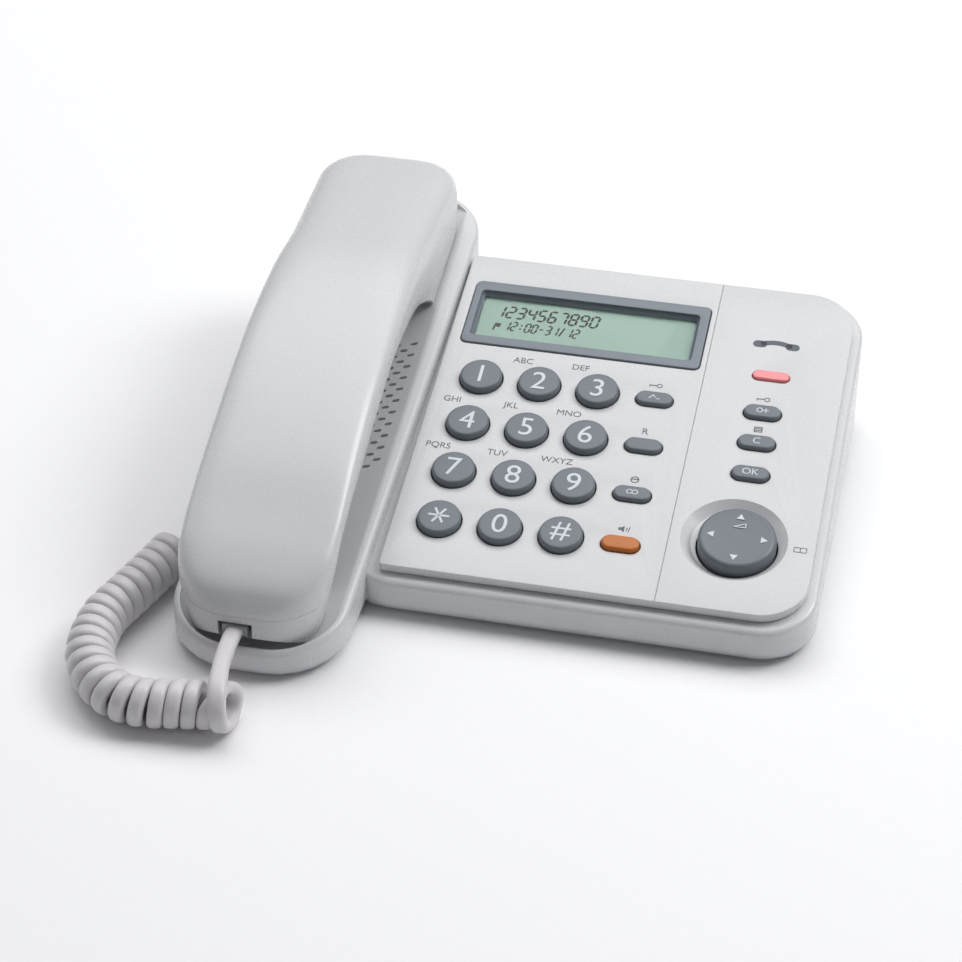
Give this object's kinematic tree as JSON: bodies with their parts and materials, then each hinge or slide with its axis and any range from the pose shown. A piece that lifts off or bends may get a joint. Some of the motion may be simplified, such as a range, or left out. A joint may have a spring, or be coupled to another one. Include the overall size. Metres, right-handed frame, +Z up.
{
  "type": "corded desk telephone",
  "caption": "Wedge-shaped corded desk telephone with a side cradle, a curly-corded handset, dial and function keys, a round navigation key and a small display.",
  "frame": {"origin": "under the middle of the base and cradle, on the table", "axes": "+X to the user's right, +Y to the back, +Z up from the table"},
  "size_m": [0.2175, 0.236, 0.0682],
  "materials": {
    "white_abs": "moulded ABS, satin gloss",
    "grey_key_plastic": "moulded key plastic, satin",
    "orange_key_plastic": "moulded key plastic, satin",
    "slate_bezel_plastic": "moulded, fine texture",
    "clear_window": "clear polished plastic window",
    "display_glass": "reflective display glass",
    "red_lamp_lens": "tinted translucent lens",
    "dark_rubber": "moulded rubber",
    "circuit_board": "solder mask",
    "black_plastic": "moulded",
    "plated_steel": "plated",
    "cell_sleeve": "shrink sleeve",
    "cord_pvc": "extruded PVC, satin",
    "clear_plug_plastic": "clear moulded plastic"
  },
  "bodies": {
    "base": {"upper_housing": "white_abs", "bottom_cover": "white_abs", "keypad_cover": "white_abs", "function_panel": "white_abs", "battery_cell_1": "cell_sleeve", "battery_cell_2": "cell_sleeve", "battery_cell_3": "cell_sleeve", "lamp_lens": "red_lamp_lens", "display_bezel": "slate_bezel_plastic", "display_window": "clear_window", "display_module": "display_glass", "key_mat": "dark_rubber", "main_board": "circuit_board", "loudspeaker": "plated_steel", "hook_switch": "black_plastic", "hook_spring": "plated_steel", "line_jack": "black_plastic", "handset_cord_jack": "black_plastic", "foot_front_right": "dark_rubber", "foot_back_right": "dark_rubber", "foot_front_left": "dark_rubber", "foot_back_left": "dark_rubber", "case_screw_1": "plated_steel", "case_screw_2": "plated_steel", "case_screw_3": "plated_steel", "case_screw_4": "plated_steel", "cord_plug_base": "clear_plug_plastic", "cord_coil": "cord_pvc", "cord_tail_base": "cord_pvc"},
    "key_1": {"key_1": "grey_key_plastic"},
    "key_2": {"key_2": "grey_key_plastic"},
    "key_3": {"key_3": "grey_key_plastic"},
    "key_4": {"key_4": "grey_key_plastic"},
    "key_5": {"key_5": "grey_key_plastic"},
    "key_6": {"key_6": "grey_key_plastic"},
    "key_7": {"key_7": "grey_key_plastic"},
    "key_8": {"key_8": "grey_key_plastic"},
    "key_9": {"key_9": "grey_key_plastic"},
    "key_star": {"key_star": "grey_key_plastic"},
    "key_0": {"key_0": "grey_key_plastic"},
    "key_hash": {"key_hash": "grey_key_plastic"},
    "mute_key": {"mute_key": "grey_key_plastic"},
    "recall_key": {"recall_key": "grey_key_plastic"},
    "redial_key": {"redial_key": "grey_key_plastic"},
    "speaker_key": {"speaker_key": "orange_key_plastic"},
    "store_key": {"store_key": "grey_key_plastic"},
    "clear_key": {"clear_key": "grey_key_plastic"},
    "ok_key": {"ok_key": "grey_key_plastic"},
    "navigation_gimbal": {"navigation_pivot": "black_plastic"},
    "navigation_key": {"navigation_key": "grey_key_plastic"},
    "handset": {"cord_tail_handset": "cord_pvc", "handset_top_shell": "white_abs", "handset_bottom_shell": "white_abs", "receiver_capsule": "black_plastic", "microphone": "plated_steel", "handset_socket": "black_plastic", "cord_plug_handset": "clear_plug_plastic"},
    "hook_plunger": {"hook_plunger": "black_plastic"},
    "battery_cover": {"battery_cover": "white_abs"}
  },
  "joints": [
    {"name": "press_key_1", "type": "slide", "parent": "base", "child": "key_1", "axis": [0, 0.1874, -0.9823], "range_m": [0, 0.0015], "stiffness_N_per_m": 300},
    {"name": "press_key_2", "type": "slide", "parent": "base", "child": "key_2", "axis": [0, 0.1874, -0.9823], "range_m": [0, 0.0015], "stiffness_N_per_m": 300},
    {"name": "press_key_3", "type": "slide", "parent": "base", "child": "key_3", "axis": [0, 0.1874, -0.9823], "range_m": [0, 0.0015], "stiffness_N_per_m": 300},
    {"name": "press_key_4", "type": "slide", "parent": "base", "child": "key_4", "axis": [0, 0.1874, -0.9823], "range_m": [0, 0.0015], "stiffness_N_per_m": 300},
    {"name": "press_key_5", "type": "slide", "parent": "base", "child": "key_5", "axis": [0, 0.1874, -0.9823], "range_m": [0, 0.0015], "stiffness_N_per_m": 300},
    {"name": "press_key_6", "type": "slide", "parent": "base", "child": "key_6", "axis": [0, 0.1874, -0.9823], "range_m": [0, 0.0015], "stiffness_N_per_m": 300},
    {"name": "press_key_7", "type": "slide", "parent": "base", "child": "key_7", "axis": [0, 0.1874, -0.9823], "range_m": [0, 0.0015], "stiffness_N_per_m": 300},
    {"name": "press_key_8", "type": "slide", "parent": "base", "child": "key_8", "axis": [0, 0.1874, -0.9823], "range_m": [0, 0.0015], "stiffness_N_per_m": 300},
    {"name": "press_key_9", "type": "slide", "parent": "base", "child": "key_9", "axis": [0, 0.1874, -0.9823], "range_m": [0, 0.0015], "stiffness_N_per_m": 300},
    {"name": "press_key_star", "type": "slide", "parent": "base", "child": "key_star", "axis": [0, 0.1874, -0.9823], "range_m": [0, 0.0015], "stiffness_N_per_m": 300},
    {"name": "press_key_0", "type": "slide", "parent": "base", "child": "key_0", "axis": [0, 0.1874, -0.9823], "range_m": [0, 0.0015], "stiffness_N_per_m": 300},
    {"name": "press_key_hash", "type": "slide", "parent": "base", "child": "key_hash", "axis": [0, 0.1874, -0.9823], "range_m": [0, 0.0015], "stiffness_N_per_m": 300},
    {"name": "press_mute_key", "type": "slide", "parent": "base", "child": "mute_key", "axis": [0, 0.1874, -0.9823], "range_m": [0, 0.001], "stiffness_N_per_m": 300},
    {"name": "press_recall_key", "type": "slide", "parent": "base", "child": "recall_key", "axis": [0, 0.1874, -0.9823], "range_m": [0, 0.001], "stiffness_N_per_m": 300},
    {"name": "press_redial_key", "type": "slide", "parent": "base", "child": "redial_key", "axis": [0, 0.1874, -0.9823], "range_m": [0, 0.001], "stiffness_N_per_m": 300},
    {"name": "press_speaker_key", "type": "slide", "parent": "base", "child": "speaker_key", "axis": [0, 0.1874, -0.9823], "range_m": [0, 0.001], "stiffness_N_per_m": 300},
    {"name": "press_store_key", "type": "slide", "parent": "base", "child": "store_key", "axis": [0, 0.1874, -0.9823], "range_m": [0, 0.001], "stiffness_N_per_m": 300},
    {"name": "press_clear_key", "type": "slide", "parent": "base", "child": "clear_key", "axis": [0, 0.1874, -0.9823], "range_m": [0, 0.001], "stiffness_N_per_m": 300},
    {"name": "press_ok_key", "type": "slide", "parent": "base", "child": "ok_key", "axis": [0, 0.1874, -0.9823], "range_m": [0, 0.001], "stiffness_N_per_m": 300},
    {"name": "navigation_roll", "type": "hinge", "parent": "base", "child": "navigation_gimbal", "pos_m": [0.06831, -0.03393, 0.01952], "axis": [0, 0.9823, 0.1874], "range_deg": [-4, 4], "stiffness_Nm_per_rad": 0.05},
    {"name": "navigation_pitch", "type": "hinge", "parent": "navigation_gimbal", "child": "navigation_key", "pos_m": [0.06831, -0.03393, 0.01952], "axis": [1, 0, 0], "range_deg": [-4, 4], "stiffness_Nm_per_rad": 0.05},
    {"name": "handset_lift", "type": "slide", "parent": "base", "child": "handset", "axis": [0, -0.1874, 0.9823], "range_m": [0, 0.08]},
    {"name": "hook_rise", "type": "slide", "parent": "base", "child": "hook_plunger", "axis": [0, -0.1874, 0.9823], "range_m": [0, 0.0045], "deforming": ["hook_spring"]},
    {"name": "battery_cover_slide", "type": "slide", "parent": "base", "child": "battery_cover", "axis": [0, 1, 0], "range_m": [0, 0.064]}
  ],
  "couplings": [
    {"joint": "hook_rise", "follows": "handset_lift", "ratio": 0.05625}
  ]
}
